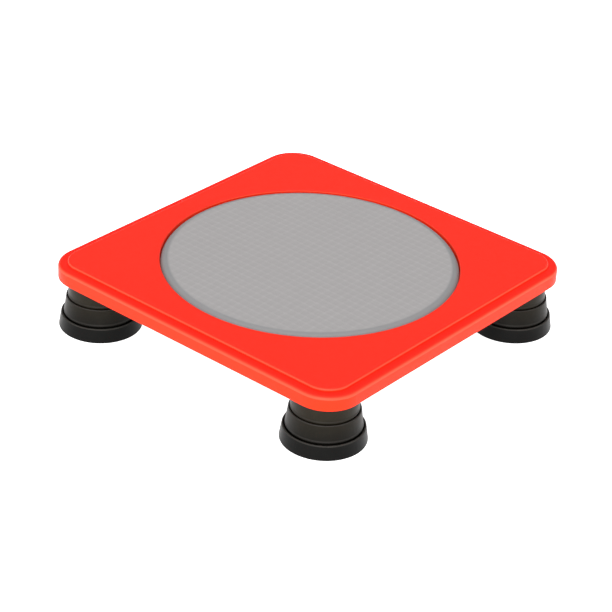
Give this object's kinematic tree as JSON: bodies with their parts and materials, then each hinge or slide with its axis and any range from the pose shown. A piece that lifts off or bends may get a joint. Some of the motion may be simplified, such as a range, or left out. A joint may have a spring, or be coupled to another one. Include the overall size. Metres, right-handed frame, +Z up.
{
  "type": "balance pad",
  "caption": "Square red balance board with a round grey waffle-textured pad let into its top, on black telescoping sprung corner feet.",
  "frame": {"origin": "on the floor under the middle of the board, with the feet at full length", "axes": "+Z up; X and Y along the sides of the square board, -Y is the front"},
  "size_m": [0.5054, 0.5054, 0.1],
  "materials": {
    "red_plastic": "satin",
    "black_cover_plastic": "matt, lightly grained",
    "birch_plywood": "bare",
    "grey_pad_skin": "matt waffle texture",
    "pad_foam": "closed-cell foam",
    "grey_backing_plastic": "matt",
    "zinc_steel": "zinc plated",
    "brass": "turned",
    "black_foot_plastic": "satin",
    "black_rubber": "matt",
    "bush_plastic": "natural acetal",
    "steel": "ground",
    "spring_steel": "oiled"
  },
  "bodies": {
    "deck": {"top_shell": "red_plastic", "bottom_cover": "black_cover_plastic", "load_board": "birch_plywood", "pad_skin": "grey_pad_skin", "pad_core": "pad_foam", "pad_backing": "grey_backing_plastic", "pad_screws": "zinc_steel", "cover_screws": "zinc_steel", "cover_inserts": "brass", "flange_screws": "zinc_steel", "flange_inserts": "zinc_steel", "front_left_upper_ring": "black_foot_plastic", "front_left_mounting_flange": "zinc_steel", "front_left_guide_bush": "bush_plastic", "front_left_spring": "spring_steel", "front_right_upper_ring": "black_foot_plastic", "front_right_mounting_flange": "zinc_steel", "front_right_guide_bush": "bush_plastic", "front_right_spring": "spring_steel", "rear_left_upper_ring": "black_foot_plastic", "rear_left_mounting_flange": "zinc_steel", "rear_left_guide_bush": "bush_plastic", "rear_left_spring": "spring_steel", "rear_right_upper_ring": "black_foot_plastic", "rear_right_mounting_flange": "zinc_steel", "rear_right_guide_bush": "bush_plastic", "rear_right_spring": "spring_steel"},
    "front_left_ring": {"front_left_middle_ring": "black_foot_plastic"},
    "front_left_base": {"front_left_base_cup": "black_foot_plastic", "front_left_sole": "black_rubber", "front_left_guide_bolt": "steel", "front_left_washer": "zinc_steel", "front_left_lock_nut": "zinc_steel", "front_left_bump_stop": "black_rubber"},
    "front_right_ring": {"front_right_middle_ring": "black_foot_plastic"},
    "front_right_base": {"front_right_base_cup": "black_foot_plastic", "front_right_sole": "black_rubber", "front_right_guide_bolt": "steel", "front_right_washer": "zinc_steel", "front_right_lock_nut": "zinc_steel", "front_right_bump_stop": "black_rubber"},
    "rear_left_ring": {"rear_left_middle_ring": "black_foot_plastic"},
    "rear_left_base": {"rear_left_base_cup": "black_foot_plastic", "rear_left_sole": "black_rubber", "rear_left_guide_bolt": "steel", "rear_left_washer": "zinc_steel", "rear_left_lock_nut": "zinc_steel", "rear_left_bump_stop": "black_rubber"},
    "rear_right_ring": {"rear_right_middle_ring": "black_foot_plastic"},
    "rear_right_base": {"rear_right_base_cup": "black_foot_plastic", "rear_right_sole": "black_rubber", "rear_right_guide_bolt": "steel", "rear_right_washer": "zinc_steel", "rear_right_lock_nut": "zinc_steel", "rear_right_bump_stop": "black_rubber"}
  },
  "joints": [
    {"name": "front_left_base_slide", "type": "slide", "parent": "deck", "child": "front_left_base", "axis": [0, 0, 1], "range_m": [0, 0.015], "stiffness_N_per_m": 30000, "springref_m": -0.002, "deforming": ["front_left_spring"]},
    {"name": "front_left_ring_slide", "type": "slide", "parent": "deck", "child": "front_left_ring", "axis": [0, 0, 1], "range_m": [0, 0.0075]},
    {"name": "front_right_base_slide", "type": "slide", "parent": "deck", "child": "front_right_base", "axis": [0, 0, 1], "range_m": [0, 0.015], "stiffness_N_per_m": 30000, "springref_m": -0.002, "deforming": ["front_right_spring"]},
    {"name": "front_right_ring_slide", "type": "slide", "parent": "deck", "child": "front_right_ring", "axis": [0, 0, 1], "range_m": [0, 0.0075]},
    {"name": "rear_left_base_slide", "type": "slide", "parent": "deck", "child": "rear_left_base", "axis": [0, 0, 1], "range_m": [0, 0.015], "stiffness_N_per_m": 30000, "springref_m": -0.002, "deforming": ["rear_left_spring"]},
    {"name": "rear_left_ring_slide", "type": "slide", "parent": "deck", "child": "rear_left_ring", "axis": [0, 0, 1], "range_m": [0, 0.0075]},
    {"name": "rear_right_base_slide", "type": "slide", "parent": "deck", "child": "rear_right_base", "axis": [0, 0, 1], "range_m": [0, 0.015], "stiffness_N_per_m": 30000, "springref_m": -0.002, "deforming": ["rear_right_spring"]},
    {"name": "rear_right_ring_slide", "type": "slide", "parent": "deck", "child": "rear_right_ring", "axis": [0, 0, 1], "range_m": [0, 0.0075]}
  ],
  "couplings": [
    {"joint": "front_left_ring_slide", "follows": "front_left_base_slide", "ratio": 0.5},
    {"joint": "front_right_ring_slide", "follows": "front_right_base_slide", "ratio": 0.5},
    {"joint": "rear_left_ring_slide", "follows": "rear_left_base_slide", "ratio": 0.5},
    {"joint": "rear_right_ring_slide", "follows": "rear_right_base_slide", "ratio": 0.5}
  ]
}
